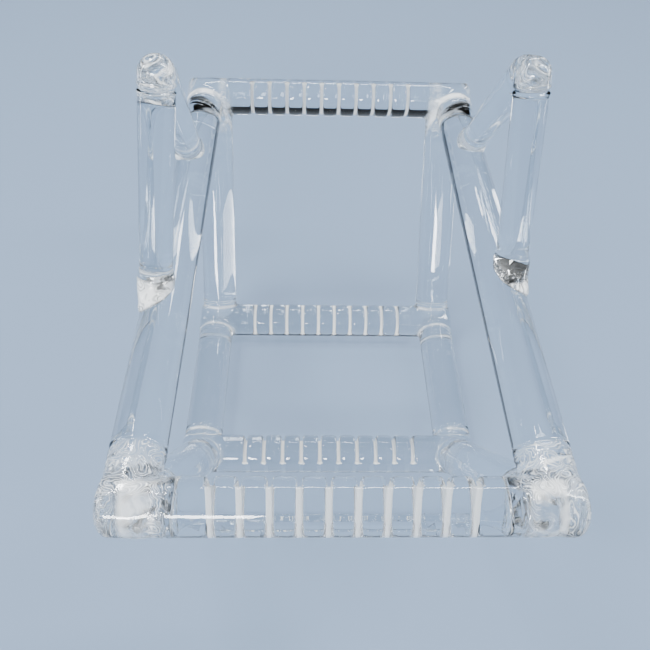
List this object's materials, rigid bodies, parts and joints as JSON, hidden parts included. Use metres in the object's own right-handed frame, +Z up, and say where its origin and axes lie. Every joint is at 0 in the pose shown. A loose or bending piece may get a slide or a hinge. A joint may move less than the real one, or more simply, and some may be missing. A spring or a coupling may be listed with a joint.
{
  "type": "quartz wafer carrier",
  "caption": "Clear fused-quartz cradle of welded round rods with slotted cross bars that hold discs on edge and an inverted-V handle on each side.",
  "frame": {"origin": "on the surface it stands on, under the middle of the whole carrier", "axes": "+X along the slotted bars to the right, +Y to the rear across the wafers' width, +Z up; the front is the side the nearest bar faces"},
  "size_m": [0.0997, 0.1646, 0.1282],
  "materials": {
    "sawn_quartz": "clear fire-polished rod with frosted, diamond-sawn slots",
    "quartz_rod": "clear drawn rod with faint lengthwise draw lines",
    "welded_quartz": "clear flame-melted lumps with milky swirls and small bubbles"
  },
  "bodies": {
    "root": {"front_top_slotted_bar": "sawn_quartz", "front_bottom_slotted_bar": "sawn_quartz", "rear_bottom_slotted_bar": "sawn_quartz", "rear_top_slotted_bar": "sawn_quartz", "front_top_left_weld": "welded_quartz", "front_bottom_left_weld": "welded_quartz", "rear_bottom_left_weld": "welded_quartz", "rear_top_left_weld": "welded_quartz", "left_upper_rail": "quartz_rod", "left_lower_rail": "quartz_rod", "left_front_strut": "quartz_rod", "left_rear_strut": "quartz_rod", "front_top_right_weld": "welded_quartz", "front_bottom_right_weld": "welded_quartz", "rear_bottom_right_weld": "welded_quartz", "rear_top_right_weld": "welded_quartz", "right_upper_rail": "quartz_rod", "right_lower_rail": "quartz_rod", "right_front_strut": "quartz_rod", "right_rear_strut": "quartz_rod", "left_handle_front_foot_weld": "welded_quartz", "left_handle_front_leg": "quartz_rod", "left_handle_rear_foot_weld": "welded_quartz", "left_handle_rear_leg": "quartz_rod", "left_handle_apex_weld": "welded_quartz", "right_handle_front_foot_weld": "welded_quartz", "right_handle_front_leg": "quartz_rod", "right_handle_rear_foot_weld": "welded_quartz", "right_handle_rear_leg": "quartz_rod", "right_handle_apex_weld": "welded_quartz"}
  },
  "joints": []
}
